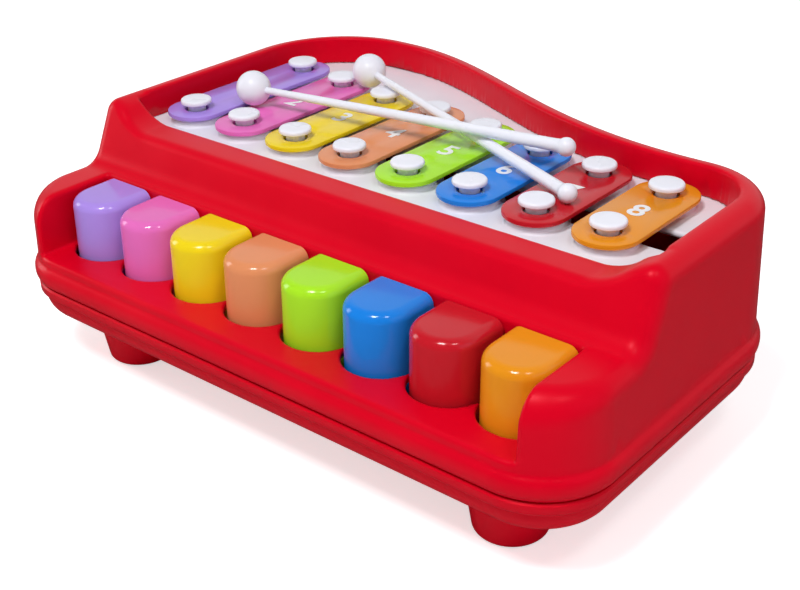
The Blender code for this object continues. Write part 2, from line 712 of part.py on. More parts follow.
def mallet_places():
    """Ball and knob centres: one mallet lies on two bars, and the other on a bar and on the first."""
    low_ball = Vector((bar_x(1) + LOWER_BALL_PLACE[0], rear_peg_y(1) + LOWER_BALL_PLACE[1],
                       bar_top_z + MALLET_BALL + GAP))
    low_knob = Vector((bar_x(6) + LOWER_KNOB_PLACE[0], peg_row_y + LOWER_KNOB_PLACE[1], 0))
    run = (low_knob - low_ball).to_2d()
    drop = MALLET_BALL - MALLET_KNOB
    flat = math.sqrt(MALLET_LENGTH ** 2 - drop ** 2)
    heading = run.normalized()
    low_knob = low_ball + Vector((heading.x * flat, heading.y * flat, -drop))

    high_ball = Vector((bar_x(1) + UPPER_BALL_PLACE[0], peg_row_y + UPPER_BALL_PLACE[1], low_ball.z))
    across = Vector((math.cos(UPPER_HEADING), math.sin(UPPER_HEADING)))
    offset = (low_ball - high_ball).to_2d()
    side = across.cross(heading)
    on_high = offset.cross(heading) / side
    on_low = offset.cross(across) / side
    lift = low_ball.z - drop * on_low / flat + stick_radius(on_low) + stick_radius(on_high) + 1.5 * GAP
    rise = (lift - high_ball.z) / on_high
    reach = MALLET_LENGTH / math.hypot(1, rise)
    high_knob = high_ball + Vector((across.x * reach, across.y * reach, rise * reach))
    return {"lower": (low_ball, low_knob), "upper": (high_ball, high_knob)}


def make_mallet(label, ball, knob):
    """Moulded stick with a small knob, and a ball pushed on its thin end."""
    turn = (knob - ball).normalized().to_track_quat("Z", "Y").to_matrix().to_4x4()
    place = Matrix.Translation(ball) @ turn
    depth_in_ball = -MALLET_BALL * 0.55
    neck = MALLET_LENGTH - MALLET_KNOB * 0.8
    stations = [depth_in_ball, MALLET_BALL, MALLET_BALL + (neck - MALLET_BALL) / 2, neck]
    profile = [(stick_radius(along), along) for along in stations]
    for turn in (-35, 0, 35, 65):
        a = math.radians(turn)
        profile.append((MALLET_KNOB * math.cos(a), MALLET_LENGTH + MALLET_KNOB * math.sin(a)))
    stick = loft("mallet_stick_" + label, turned(0, 0, profile, 12), white_plastic)
    stick.data.transform(place)

    rings = []
    for k in range(9):
        a = math.radians(-82 + 164 * k / 8)
        rings.append((MALLET_BALL * math.cos(a), MALLET_BALL * math.sin(a)))
    head = loft("mallet_ball_" + label, turned(0, 0, rings, 18), white_plastic)
    head.data.transform(place)
    bore = [(STICK_THIN + GAP, depth_in_ball - GAP), (STICK_THIN + GAP, 2 * MALLET_BALL)]
    bore = loft("ball bore " + label, turned(0, 0, bore, 12))
    bore.data.transform(place)
    boolean(head, bore)


make_upper_shell()
make_base_shell()
make_feet()
make_board()
make_axle()
make_pegs()
for number in range(KEY_COUNT):
    make_key(number)
    make_hammer(number)
    make_bar(number)
for label, (ball, knob) in mallet_places().items():
    make_mallet(label, ball, knob)
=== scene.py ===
# %% [markdown]
# A toy piano whose keys throw hammers at metal bars. The CAD frame gives every piece its place and its
# size. This script gives the pieces their moulded skins, their round edges, their paint and their light.

# %% Load the frame
import math

import bmesh
import bpy
import numpy as np
from mathutils import Matrix, Vector


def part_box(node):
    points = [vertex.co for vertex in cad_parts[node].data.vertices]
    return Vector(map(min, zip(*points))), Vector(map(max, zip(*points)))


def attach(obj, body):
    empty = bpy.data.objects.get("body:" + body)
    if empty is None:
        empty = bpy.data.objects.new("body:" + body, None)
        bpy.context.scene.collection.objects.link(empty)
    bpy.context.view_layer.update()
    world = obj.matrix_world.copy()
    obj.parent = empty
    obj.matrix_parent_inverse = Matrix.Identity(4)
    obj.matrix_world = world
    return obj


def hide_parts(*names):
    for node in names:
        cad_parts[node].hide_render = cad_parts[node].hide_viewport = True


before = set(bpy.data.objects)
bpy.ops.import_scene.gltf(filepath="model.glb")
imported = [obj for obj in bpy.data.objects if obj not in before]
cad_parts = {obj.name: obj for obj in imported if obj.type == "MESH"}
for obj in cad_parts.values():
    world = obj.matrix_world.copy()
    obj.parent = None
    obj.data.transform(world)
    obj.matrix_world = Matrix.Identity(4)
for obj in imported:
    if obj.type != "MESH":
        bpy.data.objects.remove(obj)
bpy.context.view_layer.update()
KEYS = 8
COLOURS = ("lilac", "pink", "yellow", "peach", "green", "blue", "crimson", "orange")
print("frame loaded:", len(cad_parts), "nodes")

# %% [markdown]
# Lengths are in metres. Places come from the frame's own boxes, so that a change in the CAD part moves the
# skins with it. Radii and wall thicknesses are the moulder's, and have names here.

# %% Places read from the frame
shell_low, shell_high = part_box("upper_shell")
base_low, base_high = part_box("base_shell")
board_low, board_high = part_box("sound_board")
key_boxes = [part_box("key_%d" % (i + 1)) for i in range(KEYS)]
bar_boxes = [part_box("bar_%d" % (i + 1)) for i in range(KEYS)]
peg_boxes = [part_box("peg_%s_%d" % (row, i + 1)) for row in ("front", "rear") for i in range(KEYS)]
hammer_boxes = [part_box("hammer_%d" % (i + 1)) for i in range(KEYS)]


def middle(box):
    return (box[0] + box[1]) / 2


half_width = shell_high.x
front_y = shell_low.y
back_y = shell_high.y
rim_z = shell_high.z
split_z = shell_low.z
key_x = [middle(box).x for box in key_boxes]
bar_x = [middle(box).x for box in bar_boxes]
key_pitch = key_x[1] - key_x[0]
key_top = key_boxes[0][1].z
bar_round = (bar_boxes[0][1].x - bar_boxes[0][0].x) / 2
bar_low = bar_boxes[0][0].z
bar_top = bar_boxes[0][1].z
peg_x = bar_x
front_peg_y = middle(peg_boxes[0]).y
rear_peg_y = [middle(box).y for box in peg_boxes[KEYS:]]
print("toy %.0f x %.0f mm, rim at %.1f mm" % (2000 * half_width, 1000 * (back_y - front_y), 1000 * rim_z))

# %% Moulder's sizes
GAP = 0.0003
WALL = 0.0025
KEY_WIDTH = 0.023
KEY_LENGTH = 0.0226
KEY_STANDS = 0.0205
KEY_FLARE = 0.0006
LEDGE_STEP = 0.0007
LEDGE_DEPTH = 0.0049
LIP_HEIGHT = 0.0083
LIP_BULGE = 0.0018
WALL_LEAN = 0.0017
RIM_WIDTH = 0.008
RIDGE_DROP = 0.0085
RIDGE_RAMP = 0.0105
CHEEK = 0.0192
APRON = 0.0131
FRONT_CORNER = 0.026
LEFT_BACK_CORNER = 0.0475
RIGHT_BACK_CORNER = 0.031
SLOPE_ANGLE = math.radians(67)
CREASE_RADIUS = 0.008
BROW_RADIUS = 0.006
FRONT_ROUNDING = 0.013
SIDE_ROUNDING = 0.006

wall_y = front_y + APRON + KEY_LENGTH + 2 * GAP
deck_z = key_top - KEY_STANDS
ledge_z = key_top + LEDGE_STEP
ridge_z = rim_z - RIDGE_DROP
lip_top_z = split_z - GAP + LIP_HEIGHT
crease_y = wall_y + LEDGE_DEPTH
bay_half = half_width - CHEEK
rim_inset = LIP_BULGE + WALL_LEAN
recess_inset = rim_inset + RIM_WIDTH
recess_front_y = front_peg_y - bar_round - 0.0047
back_right_y = rear_peg_y[-1] + bar_round + 0.003 + recess_inset
board_z = ridge_z - 0.0025
print("deck at %.1f mm, ledge at %.1f mm" % (1000 * deck_z, 1000 * ledge_z))

# %% [markdown]
# The camera is the photograph's, found by matching the key caps and the rim. It comes before any piece, so
# that every later step can be looked at from the right place.

# %% Camera
CAMERA_PLACE = Vector((0.26433, -0.32265, 0.24692))
CAMERA_AZIMUTH = math.radians(40.24)
CAMERA_ELEVATION = math.radians(27.89)
CAMERA_ROLL = math.radians(-1.24)
CAMERA_LENS = 57.86
CAMERA_NEAR = 0.01

back = Vector((math.sin(CAMERA_AZIMUTH) * math.cos(CAMERA_ELEVATION),
               -math.cos(CAMERA_AZIMUTH) * math.cos(CAMERA_ELEVATION), math.sin(CAMERA_ELEVATION)))
level = Vector((math.cos(CAMERA_AZIMUTH), math.sin(CAMERA_AZIMUTH), 0))
upright = back.cross(level)
right = level * math.cos(CAMERA_ROLL) + upright * math.sin(CAMERA_ROLL)
turn = Matrix((right, back.cross(right), back)).transposed().to_4x4()
camera = bpy.data.objects.new("camera", bpy.data.cameras.new("camera"))
camera.matrix_world = Matrix.Translation(CAMERA_PLACE) @ turn
camera.data.lens = CAMERA_LENS
camera.data.clip_start = CAMERA_NEAR
bpy.context.collection.objects.link(camera)
bpy.context.scene.camera = camera
print("camera at", [round(c, 3) for c in camera.location])

# %% [markdown]
# Moulded plastic is glossy but never a mirror: the mould's polish leaves a very fine waviness, and the gloss
# differs a little from place to place. Noise on Object coordinates gives both, far too small to see as a
# pattern. The red reflects little and in its own colour, so that it stays deep where the light is strong.

# %% Plastic and paint
COAT_ROUGHNESS = 0.08
CLOUD_SCALE = 60
CLOUD_DETAIL = 3
SHADE_RANGE = (0.94, 1.04)
WAVE_STRENGTH = 0.5


def plastic(name, colour, roughness=0.3, coat=0.0, wave=0.00002, grain=420.0, spread=0.06, metallic=0.0,
            shine=0.3, shine_tint=(1, 1, 1)):
    material = bpy.data.materials.new(name)
    material.use_nodes = True
    nodes = material.node_tree.nodes
    links = material.node_tree.links
    shader = nodes["Principled BSDF"]
    shader.inputs["Base Color"].default_value = (*colour, 1)
    shader.inputs["Coat Weight"].default_value = coat
    shader.inputs["Coat Roughness"].default_value = COAT_ROUGHNESS
    shader.inputs["Metallic"].default_value = metallic
    shader.inputs["Specular IOR Level"].default_value = shine
    shader.inputs["Specular Tint"].default_value = (*shine_tint, 1)
    place = nodes.new("ShaderNodeTexCoord")
    cloud = nodes.new("ShaderNodeTexNoise")
    cloud.inputs["Scale"].default_value = CLOUD_SCALE
    cloud.inputs["Detail"].default_value = CLOUD_DETAIL
    gloss = nodes.new("ShaderNodeMapRange")
    gloss.inputs["To Min"].default_value = roughness - spread
    gloss.inputs["To Max"].default_value = roughness + spread
    shade = nodes.new("ShaderNodeMapRange")
    shade.inputs["To Min"].default_value = SHADE_RANGE[0]
    shade.inputs["To Max"].default_value = SHADE_RANGE[1]
    tint = nodes.new("ShaderNodeVectorMath")
    tint.operation = "SCALE"
    tint.inputs[0].default_value = colour
    skin = nodes.new("ShaderNodeTexNoise")
    skin.inputs["Scale"].default_value = grain
    bump = nodes.new("ShaderNodeBump")
    bump.inputs["Strength"].default_value = WAVE_STRENGTH
    bump.inputs["Distance"].default_value = wave
    for texture in (cloud, skin):
        links.new(place.outputs["Object"], texture.inputs["Vector"])
    links.new(cloud.outputs["Fac"], gloss.inputs["Value"])
    links.new(gloss.outputs["Result"], shader.inputs["Roughness"])
    links.new(cloud.outputs["Fac"], shade.inputs["Value"])
    links.new(shade.outputs["Result"], tint.inputs["Scale"])
    links.new(tint.outputs["Vector"], shader.inputs["Base Color"])
    links.new(skin.outputs["Fac"], bump.inputs["Height"])
    links.new(bump.outputs["Normal"], shader.inputs["Normal"])
    return material


RED = (0.70, 0.0, 0.014)
WHITE = (0.86, 0.87, 0.95)
BOARD_WHITE = (0.82, 0.82, 0.89)
TINTS = {
    "lilac": (0.42, 0.27, 0.80), "pink": (0.80, 0.16, 0.52), "yellow": (0.87, 0.66, 0.01),
    "peach": (0.76, 0.28, 0.12), "green": (0.40, 0.80, 0.02), "blue": (0.01, 0.22, 0.75),
    "crimson": (0.55, 0.01, 0.02), "orange": (0.80, 0.29, 0.01),
}
red_plastic = plastic("red moulded plastic", RED, 0.34, shine=0.3, shine_tint=(1, 0.2, 0.25))
white_plastic = plastic("white moulded plastic", WHITE, 0.28)
key_plastic = {c: plastic(c + " key plastic", TINTS[c], 0.16, coat=0.12) for c in COLOURS}
bar_paint = {c: plastic(c + " bar paint", TINTS[c], 0.22, coat=0.2, grain=900.0) for c in COLOURS}
board_plastic = plastic("white board plastic", BOARD_WHITE, 0.35)
steel = plastic("drawn steel", (0.55, 0.55, 0.57), 0.28, metallic=1.0)
numeral_paint = plastic("white numeral paint", (0.86, 0.86, 0.88), 0.3)
print("materials:", len(bpy.data.materials))

# %% [markdown]
# Most pieces are skins drawn through rings of points: rings over a plan outline for keys, bars and the base,
# and circles for whatever was turned or is round.

# %% Ring helpers
def make_mesh(name, verts, faces, material):
    data = bpy.data.meshes.new(name)
    data.from_pydata([tuple(v) for v in verts], [], faces)
    data.materials.append(material)
    obj = bpy.data.objects.new(name, data)
    bpy.context.collection.objects.link(obj)
    bm = bmesh.new()
    bm.from_mesh(data)
    bmesh.ops.recalc_face_normals(bm, faces=bm.faces)
    bm.to_mesh(data)
    bm.free()
    data.shade_smooth()
    data.set_sharp_from_angle(angle=math.radians(40))
    return obj


def skin(rings, first=0):
    """Vertices and faces of one closed skin through equal rings."""
    n = len(rings[0])
    verts = [p for ring in rings for p in ring]
    faces = []
    for r in range(len(rings) - 1):
        for k in range(n):
            a, b = first + r * n + k, first + r * n + (k + 1) % n
            faces.append((a, b, b + n, a + n))
    faces.append(tuple(range(first + n - 1, first - 1, -1)))
    last = first + (len(rings) - 1) * n
    faces.append(tuple(range(last, last + n)))
    return verts, faces


def make_skins(name, groups, material):
    verts, faces = [], []
    for rings in groups:
        v, f = skin(rings, len(verts))
        verts += v
        faces += f
    return make_mesh(name, verts, faces, material)


def circle(cx, cy, r, sides=48):
    return [(cx + r * math.cos(2 * math.pi * k / sides), cy + r * math.sin(2 * math.pi * k / sides))
            for k in range(sides)]


def arc(cx, cy, r, start, stop, steps):
    angles = [math.radians(start + (stop - start) * k / steps) for k in range(steps + 1)]
    return [(cx + r * math.cos(a), cy + r * math.sin(a)) for a in angles]


def turned(cx, cy, profile, sides=48):
    return [[(x, y, z) for x, y in circle(cx, cy, r, sides)] for r, z in profile]


def edge_arc(r, z, radius, start, stop, steps=5):
    """Quarter turn of a rounded edge, as (radius, height) pairs about a centre."""
    return [(x, y) for x, y in arc(r, z, radius, start, stop, steps)]


def block(x0, x1, y0, y1, z0, z1):
    return [[(x0, y0, z), (x1, y0, z), (x1, y1, z), (x0, y1, z)] for z in (z0, z1)]


print("helpers ready")

# %% [markdown]
# The body's plan is a rounded front, and a back that runs in a long S from the deep left to the shallow
# right. One outline serves the upper shell, the base and the board, each with its own inset.

# %% Plan outline
BACK_FLAT = 0.0055
BACK_REACH_RIGHT = 0.068
BACK_REACH_LEFT = 0.050
FIELD_FINENESS = 8


def cubic(p0, p1, p2, p3, t):
    s = 1 - t
    return p0 * s ** 3 + p1 * 3 * s * s * t + p2 * 3 * s * t * t + p3 * t ** 3


def plan_outline(inset, fine=1):
    r = FRONT_CORNER - inset
    cx = half_width - FRONT_CORNER
    cy = front_y + FRONT_CORNER
    points = arc(cx, cy, r, 270, 360, 12 * fine)
    points += arc(half_width - RIGHT_BACK_CORNER, back_right_y - RIGHT_BACK_CORNER,
                  RIGHT_BACK_CORNER - inset, 0, 90, 12 * fine)
    start = Vector((half_width - RIGHT_BACK_CORNER - BACK_FLAT, back_right_y))
    end = Vector((-half_width + LEFT_BACK_CORNER + BACK_FLAT, back_y))
    handles = (start - Vector((BACK_REACH_RIGHT, 0)), end + Vector((BACK_REACH_LEFT, 0)))
    steps = 30 * fine
    nudge = 0.001
    for k in range(steps + 1):
        t = k / steps
        here = cubic(start, *handles, end, t)
        ahead = cubic(start, *handles, end, min(t + nudge, 1))
        along = ahead - cubic(start, *handles, end, max(t - nudge, 0))
        along.normalize()
        points.append(tuple(here + Vector((-along.y, along.x)) * inset))
    points += arc(-half_width + LEFT_BACK_CORNER, back_y - LEFT_BACK_CORNER, LEFT_BACK_CORNER - inset,
                  90, 180, 20 * fine)
    points += arc(-cx, cy, r, 180, 270, 12 * fine)
    return points


print("outline of", len(plan_outline(0)), "points")

# %% [markdown]
# The upper shell has soft edges of many radii that run into each other, which is hard to draw as faces. So it
# is written as a distance field: a function that says how far any point is from the surface, where two shapes
# can be joined with an edge of any radius. A net of small faces is then laid over the place where it is zero.

# %% Distance helpers
def polygon_distance(points, px, py):
    """Distance to a closed outline, negative inside."""
    best = np.full(px.shape, np.inf)
    inside = np.zeros(px.shape, bool)
    for (ax, ay), (bx, by) in zip(points, points[1:] + points[:1]):
        ex, ey = bx - ax, by - ay
        size = ex * ex + ey * ey
        if size < 1e-14:
            continue
        t = np.clip(((px - ax) * ex + (py - ay) * ey) / size, 0, 1)
        best = np.minimum(best, (px - ax - t * ex) ** 2 + (py - ay - t * ey) ** 2)
        if ey:
            inside ^= ((ay > py) != (by > py)) & (px < ax + (py - ay) * ex / ey)
    return np.where(inside, -1, 1) * np.sqrt(best)


class Field:
    """A distance kept on a fine flat grid, and read between its points."""

    def __init__(self, points, low, high, step=0.0005):
        self.low = np.array(low)
        self.step = step
        u = np.arange(low[0], high[0] + step, step)
        v = np.arange(low[1], high[1] + step, step)
        self.values = polygon_distance(points, *np.meshgrid(u, v, indexing="ij"))

    def __call__(self, u, v):
        fu = np.clip((u - self.low[0]) / self.step, 0, self.values.shape[0] - 1.001)
        fv = np.clip((v - self.low[1]) / self.step, 0, self.values.shape[1] - 1.001)
        i, j = fu.astype(int), fv.astype(int)
        a, b = fu - i, fv - j
        g = self.values
        return ((g[i, j] * (1 - a) + g[i + 1, j] * a) * (1 - b)
                + (g[i, j + 1] * (1 - a) + g[i + 1, j + 1] * a) * b)


def both(a, b, radius):
    """Where both shapes are, with the outer edge between them rounded."""
    corner = np.sqrt(np.maximum(a + radius, 0) ** 2 + np.maximum(b + radius, 0) ** 2)
    return np.minimum(np.maximum(a, b), -radius) + corner


def without(a, b, radius):
    return both(a, -b, radius)


# %% Shell profile and fields
def rounded_corner(corner, towards_a, towards_b, radius, steps=10):
    a, b = Vector(towards_a).normalized(), Vector(towards_b).normalized()
    half = a.angle(b) / 2
    centre = Vector(corner) + (a + b).normalized() * radius / math.sin(half)
    start = Vector(corner) + a * radius / math.tan(half) - centre
    sweep = (math.pi - 2 * half) * (1 if a.cross(b) < 0 else -1)
    return [tuple(centre + Matrix.Rotation(sweep * k / steps, 2) @ start) for k in range(steps + 1)]


def side_profile():
    """The body seen from the side: ledge, crease, slope, brow and top."""
    rise = Vector((math.cos(SLOPE_ANGLE), math.sin(SLOPE_ANGLE)))
    foot = Vector((crease_y, ledge_z))
    brow = foot + rise * (rim_z - ledge_z) / rise.y
    over = 0.05
    return ([(front_y - over, split_z - over), (front_y - over, ledge_z)]
            + rounded_corner(foot, (-1, 0), rise, CREASE_RADIUS)
            + rounded_corner(brow, -rise, (1, 0), BROW_RADIUS)
            + [(back_y + over, rim_z), (back_y + over, split_z - over)])


FIELD_MARGIN = 0.004
field_front = front_y - FIELD_MARGIN
field_back = back_y + FIELD_MARGIN
plan_field = Field(plan_outline(0, FIELD_FINENESS), (-half_width - FIELD_MARGIN, field_front),
                   (half_width + FIELD_MARGIN, field_back))
side_field = Field(side_profile(), (field_front, split_z - FIELD_MARGIN), (field_back, rim_z + FIELD_MARGIN))
print("fields:", plan_field.values.shape, side_field.values.shape)

# %% [markdown]
# The upper shell starts as the outline with leaning walls, cut by the side view. The ridge's ramps, the bars'
# recess, the keys' bay and its scalloped wells are then taken out, each with its own edge, and at last the
# inside, at one wall's thickness from everything above.

# %% Upper shell as a distance
BEAD_POWER = 2.6
STEP_FILLET = 0.004
STEP_EDGE = 0.0028
RECESS_CORNER = 0.002
RECESS_EDGE = 0.0009
BAY_CORNER = 0.0012
BAY_FLOOR_CORNER = 0.001
BAY_EDGE = 0.0014
WELL_EDGE = 0.0005
SLOT_DROP = 0.006
SHARP = 0.0001


def wall_inset(z):
    bead = LIP_BULGE * np.abs((z - split_z) / (LIP_HEIGHT / 2) - 1) ** BEAD_POWER
    lean = LIP_BULGE + WALL_LEAN * (z - lip_top_z) / (rim_z - lip_top_z)
    return np.where(z < lip_top_z, np.minimum(bead, LIP_BULGE), lean)


def shell_distance(x, y, z):
    ax = np.abs(x)
    plan = plan_field(x, y)
    side = plan + wall_inset(z)
    top = side_field(y, z)
    bend = np.clip((front_y + FRONT_CORNER - y) / FRONT_CORNER, 0, 1)
    rounding = SIDE_ROUNDING + (FRONT_ROUNDING - SIDE_ROUNDING) * (1 - np.arccos(bend) / (math.pi / 2))
    hull = both(side, top, rounding)

    tilt = RIDGE_RAMP / RIDGE_DROP
    ramp = (ax - (half_width - recess_inset) + (rim_z - z) * tilt) / math.hypot(1, tilt)
    step = both(both(ridge_z - z, ramp, STEP_FILLET), y - recess_front_y - STEP_FILLET, SHARP)
    body = without(hull, step, STEP_EDGE)

    recess = both(plan + recess_inset, recess_front_y - y, RECESS_CORNER)
    body = without(body, recess, RECESS_EDGE)

    bay = both(both(ax - bay_half, y - wall_y, BAY_CORNER), deck_z - z, BAY_FLOOR_CORNER)
    body = without(body, bay, BAY_EDGE)

    cap_y = wall_y - 2 * GAP - KEY_LENGTH + KEY_WIDTH / 2
    fold = (x - key_x[0] + key_pitch / 2) % key_pitch - key_pitch / 2
    well = np.where(y > cap_y, np.abs(fold), np.hypot(fold, y - cap_y)) - key_pitch / 2
    well = np.maximum(np.maximum(well, ax - bay_half + GAP), y - wall_y + GAP)
    body = without(body, np.maximum(well, z - deck_z - WALL), WELL_EDGE)
    slot = np.maximum(ax - bay_half + GAP, np.abs(y - wall_y) - 2 * WALL)
    body = np.maximum(body, -np.maximum(slot, z - key_top + SLOT_DROP))

    under_board = board_z + GAP - z
    behind_bay = np.maximum(ax - bay_half - WALL, y - wall_y - WALL)
    room = np.maximum(hull + WALL, -np.maximum(recess - WALL, under_board))
    room = np.maximum(room, -np.maximum(behind_bay, deck_z - WALL - z))
    room = np.maximum(room, -np.maximum(step - WALL, under_board))
    return np.maximum(np.maximum(body, -room), split_z - z)


print("shell field ready, wall of %.1f mm" % (1000 * WALL))

# %% [markdown]
# The net is the surface net: space is cut into small cubes, every cube that the surface crosses gets one
# point, and neighbours are joined by four-cornered faces. The points are then moved on to the surface along
# the distance's own slope, and faces are saved where the surface is flat.

# %% Net over a distance field
def surface_net(distance, low, high, step):
    """Quads near the zero of a distance: one point in every cell that the surface crosses."""
    axes = [np.arange(a - 1.5 * step, b + 2.5 * step, step) for a, b in zip(low, high)]
    x, y, z = np.meshgrid(*axes, indexing="ij")
    value = distance(x, y, z).astype(np.float32)
    solid = value < 0
    shape = tuple(n - 1 for n in value.shape)
    total = np.zeros(shape + (3,), np.float32)
    count = np.zeros(shape, np.float32)
    for axis in range(3):
        a = [slice(None)] * 3
        b = [slice(None)] * 3
        a[axis], b[axis] = slice(None, -1), slice(1, None)
        va, vb = value[tuple(a)], value[tuple(b)]
        cross = (va < 0) != (vb < 0)
        part = np.where(cross, va / np.where(cross, va - vb, 1), 0)
        others = [k for k in range(3) if k != axis]
        for da in (0, 1):
            for db in (0, 1):
                take = [slice(None)] * 3
                take[others[0]] = slice(da, da + shape[others[0]])
                take[others[1]] = slice(db, db + shape[others[1]])
                hit = cross[tuple(take)]
                count += hit
                total[..., axis] += np.where(hit, part[tuple(take)], 0)
                total[..., others[0]] += hit * da
                total[..., others[1]] += hit * db
    used = count > 0
    index = np.full(shape, -1, np.int64)
    index[used] = np.arange(used.sum())
    cell = np.argwhere(used)
    points = (cell + total[used] / count[used][:, None]) * step + np.array([a[0] for a in axes])
    faces = []
    for axis in range(3):
        a = [slice(1, -1)] * 3
        b = [slice(1, -1)] * 3
        a[axis], b[axis] = slice(None, -1), slice(1, None)
        sa, sb = solid[tuple(a)], solid[tuple(b)]
        at = np.argwhere(sa != sb)
        out = sa[tuple(at.T)]
        at[:, [k for k in range(3) if k != axis]] += 1
        u, v = [(1, 2), (2, 0), (0, 1)][axis]
        du, dv = np.zeros(3, int), np.zeros(3, int)
        du[u], dv[v] = 1, 1
        quad = np.stack([index[tuple((at - du - dv).T)], index[tuple((at - dv).T)],
                         index[tuple(at.T)], index[tuple((at - du).T)]], axis=1)
        faces.append(np.where(out[:, None], quad, quad[:, ::-1]))
    return points, np.concatenate(faces)


def settle(distance, points, step, rounds=4):
    """Moves the net's points on to the surface itself."""
    h = step * 0.25
    for k in range(rounds):
        value = distance(*points.T)
        slope = np.stack([(distance(*(points + d).T) - distance(*(points - d).T)) / (2 * h)
                          for d in np.eye(3) * h], axis=1)
        size = np.maximum((slope ** 2).sum(axis=1), 0.25)
        move = slope * (value / size)[:, None]
        points = points - np.clip(move, -step / 2, step / 2)
    return points


def net_object(name, distance, low, high, step, material, keep):
    points, faces = surface_net(distance, low, high, step)
    points = settle(distance, points, step)
    data = bpy.data.meshes.new(name)
    data.from_pydata(points.tolist(), [], faces.tolist())
    data.materials.append(material)
    obj = bpy.data.objects.new(name, data)
    bpy.context.collection.objects.link(obj)
    fewer = obj.modifiers.new("fewer faces where it is flat", "DECIMATE")
    fewer.ratio = keep
    data = bpy.data.meshes.new_from_object(obj.evaluated_get(bpy.context.evaluated_depsgraph_get()))
    obj.modifiers.clear()
    obj.data = data
    data.shade_smooth()
    return obj


print("net ready")

# %% Upper shell
SHELL_NET = 0.0009
SHELL_FACES_KEPT = 0.36
upper_shell = net_object("red_upper_shell", shell_distance, shell_low, shell_high, SHELL_NET, red_plastic,
                         SHELL_FACES_KEPT)
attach(upper_shell, "toy")
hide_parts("upper_shell")
print("upper shell:", len(upper_shell.data.polygons), "faces")

# %% [markdown]
# The base is a tray drawn through rings of the same outline: a band, a step, a bead and a rounded
# underside. Inside stand the posts that carry the axle, which only show when the toy is taken apart.

# %% Base
BASE_BAND = 0.0037
BASE_BAND_INSET = 0.0009
BASE_BEAD_INSET = 0.0026
BASE_ROUNDING = 0.0085
BAND_SOFT = 0.0005
BEAD_SOFT = 0.0012
POST_COUNT = 5
POST_THICK = 0.003
POST_DEEP = 0.010
floor_z = base_low.z
tray_top = split_z - GAP
axle_low, axle_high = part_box("key_axle")
axle = middle((axle_low, axle_high))


def base_levels():
    step_z = tray_top - BASE_BAND
    outer = [(BASE_BEAD_INSET + BASE_ROUNDING - x, z) for x, z in
             arc(0, floor_z + BASE_ROUNDING, BASE_ROUNDING, 270, 360, 10)]
    outer += [(BASE_BEAD_INSET, step_z - BEAD_SOFT), (BASE_BEAD_INSET - 0.0005, step_z - BEAD_SOFT / 4),
              (BASE_BAND_INSET + 0.0004, step_z), (BASE_BAND_INSET, step_z + BAND_SOFT),
              (BASE_BAND_INSET, tray_top - 0.0006), (BASE_BAND_INSET + 0.0006, tray_top)]
    inner = [(BASE_BEAD_INSET + WALL, tray_top), (BASE_BEAD_INSET + WALL, floor_z + BASE_ROUNDING),
             (BASE_BEAD_INSET + BASE_ROUNDING, floor_z + WALL)]
    return outer + inner


def outline_rings(levels):
    return [[(x, y, z) for x, y in plan_outline(inset, 2)] for inset, z in levels]


posts = [block(x - POST_THICK / 2, x + POST_THICK / 2, axle.y - POST_DEEP / 2, axle.y + POST_DEEP / 2,
               floor_z + WALL / 2, base_high.z)
         for x in np.linspace(axle_low.x + POST_THICK, axle_high.x - POST_THICK, POST_COUNT)]
base = make_skins("red_base_shell", [outline_rings(base_levels())] + posts, red_plastic)
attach(base, "toy")
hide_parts("base_shell")
print("base:", len(base.data.polygons), "faces")

# %% [markdown]
# Four feet taper down to a soft edge. Each is a turned skin over the CAD foot's own box.

# %% Feet
FOOT_EDGE = 0.0024
FOOT_TAPER = 0.0026
FOOT_MIDDLE = 0.001
for place in ("front_left", "front_right", "rear_left", "rear_right"):
    low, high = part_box("foot_" + place)
    centre = middle((low, high))
    top = (high.x - low.x) / 2
    bottom = top - FOOT_TAPER
    profile = [(FOOT_MIDDLE, 0.0)] + edge_arc(bottom - FOOT_EDGE, FOOT_EDGE, FOOT_EDGE, 270, 355, 8)
    profile += [(top, high.z)]
    foot = make_skins("red_foot_" + place, [turned(centre.x, centre.y, profile, 64)], red_plastic)
    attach(foot, "toy")
    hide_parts("foot_" + place)
print("feet: 4")

# %% [markdown]
# The white board lies under the bars. Each bar end stands on a low round boss, and a long window lets the
# hammers through. It is another distance, so the bosses run into the board with a moulded fillet.

# %% Board
BOSS_ROUND = bar_round - 0.0014
BOSS_DROP = 0.0018
BOSS_EDGE = 0.0006
BOSS_FILLET = 0.0007
BOARD_THICK = 0.002
BOARD_STANDS = 0.0026
BOARD_TUCK = 0.0022
FAR = 1.0
WINDOW_DEPTH = 0.0135
WINDOW_HALF = 0.1065
WINDOW_SHIFT = 0.0005
WINDOW_CORNER = 0.0015
WINDOW_EDGE = 0.0004
HAMMER_HALF = 0.0015
boss_top = board_high.z
plate_z = boss_top - BOARD_STANDS
window_y = middle(hammer_boxes[0]).y - HAMMER_HALF


def merged(a, b, radius):
    """Either shape, with a fillet in the corner between them."""
    corner = np.sqrt(np.maximum(radius - a, 0) ** 2 + np.maximum(radius - b, 0) ** 2)
    return np.maximum(np.minimum(a, b), radius) - corner


